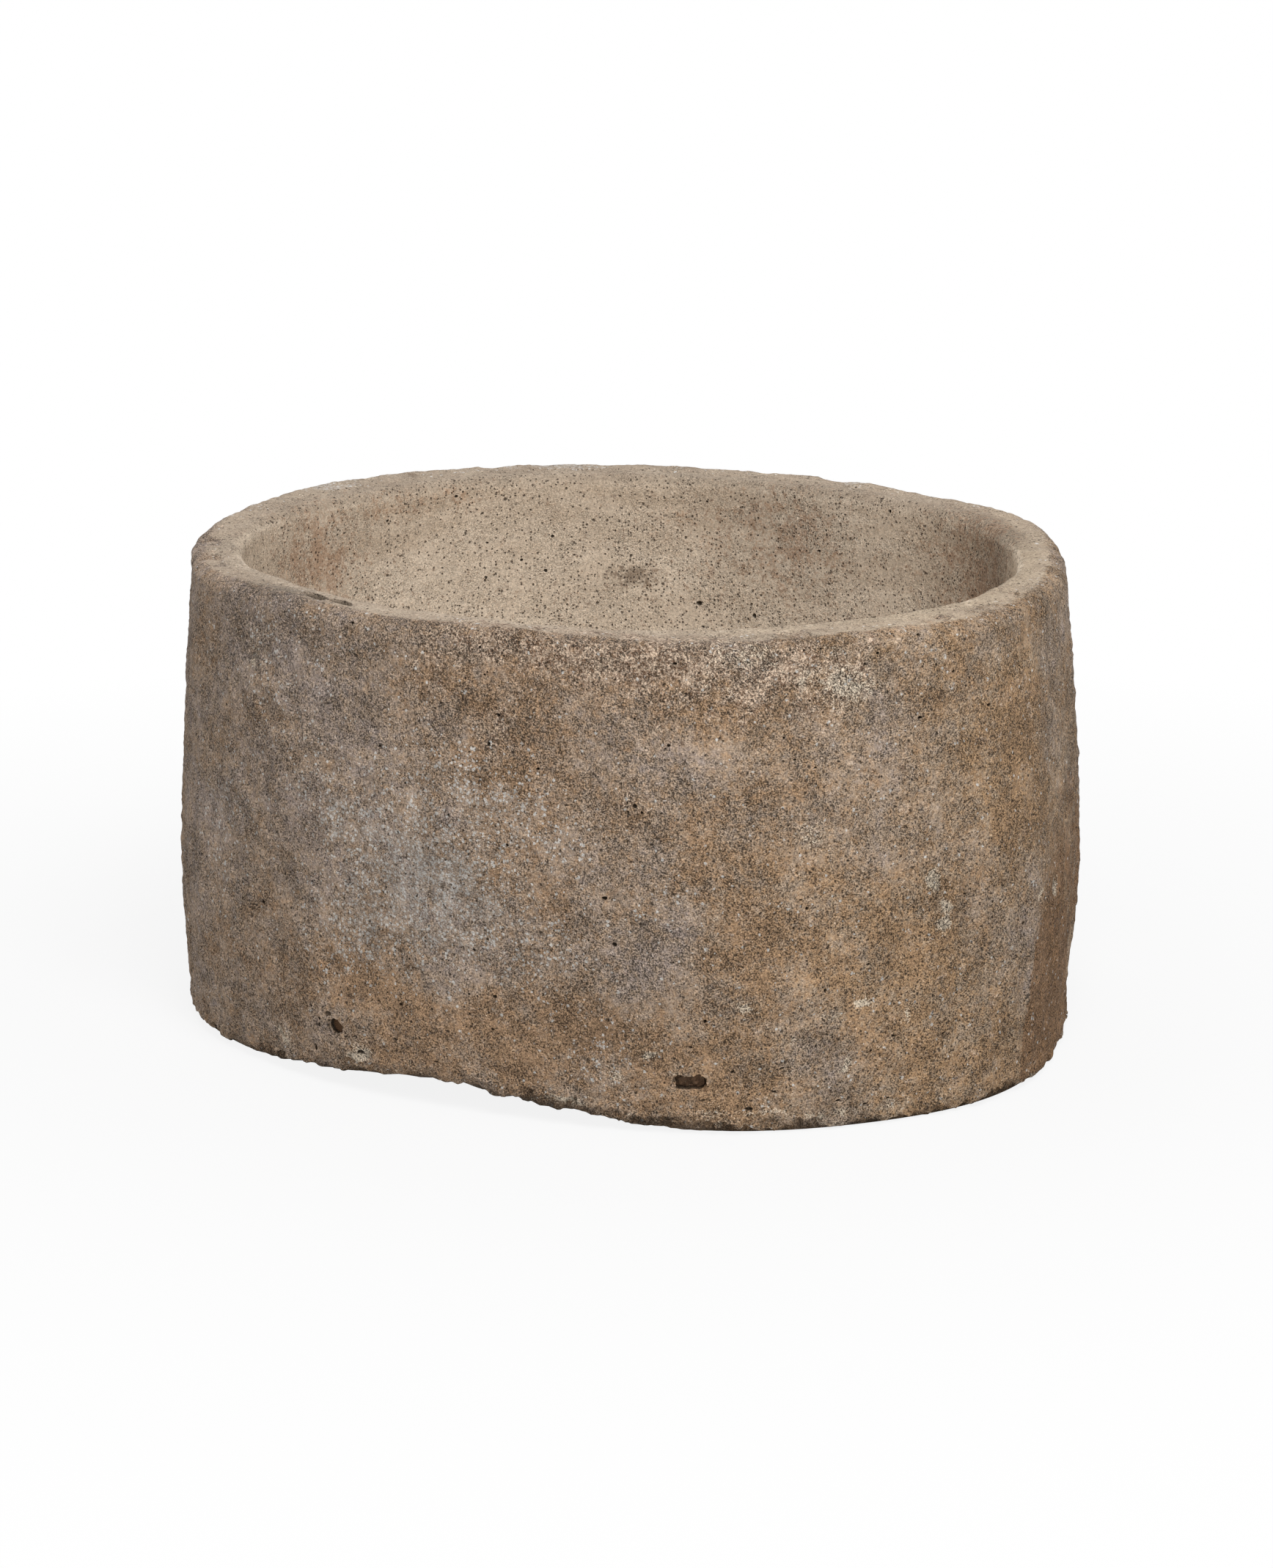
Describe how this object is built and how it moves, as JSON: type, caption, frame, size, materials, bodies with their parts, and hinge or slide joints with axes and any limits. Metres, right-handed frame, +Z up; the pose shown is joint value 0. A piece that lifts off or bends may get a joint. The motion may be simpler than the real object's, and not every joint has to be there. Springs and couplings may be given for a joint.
{
  "type": "stone trough",
  "caption": "Large oval limestone trough, hollowed from one block by hand, for planting, water or a fountain basin, with stopped drains at its foot.",
  "frame": {"origin": "under the middle of the block, on the ground it stands on", "axes": "+Z up, +X along the long axis of the oval, +Y across it"},
  "size_m": [1.1572, 1.0112, 0.55],
  "materials": {
    "limestone": "weathered hand-dressed limestone, pitted, with brown crust, lime flecks and grey lichen staining",
    "lime_mortar": "dark weathered lime mortar with a lumpy recessed face",
    "oak": "dark water-stained end grain of oak"
  },
  "bodies": {
    "root": {"trough": "limestone", "slot_mortar": "lime_mortar", "drain_bung": "oak"}
  },
  "joints": []
}
